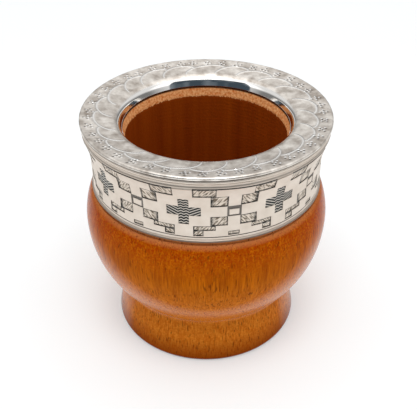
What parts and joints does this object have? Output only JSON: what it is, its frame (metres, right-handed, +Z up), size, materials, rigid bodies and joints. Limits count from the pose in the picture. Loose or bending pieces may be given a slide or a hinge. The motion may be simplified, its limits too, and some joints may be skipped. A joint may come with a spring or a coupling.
{
  "type": "mate cup",
  "caption": "Turned wooden drinking cup with a bellied body, waisted foot, flared metal collar engraved with a stepped frieze, and a wide flat metal rim.",
  "frame": {"origin": "the middle of the flat underside of the foot, on the axis of turning", "axes": "+Z up along the axis of turning, out of the mouth; -Y out of the middle of one stepped diamond of the collar; +X to the right of someone who faces that diamond"},
  "size_m": [0.0812, 0.0812, 0.0794],
  "materials": {
    "wood": "semi-gloss varnished hardwood",
    "collar_metal": "satin nickel silver with darkened engraving",
    "rim_metal": "engraved satin nickel silver, polished throat and edge"
  },
  "bodies": {
    "root": {"wooden_cup": "wood", "collar_band": "collar_metal", "rim_ring": "rim_metal"}
  },
  "joints": []
}
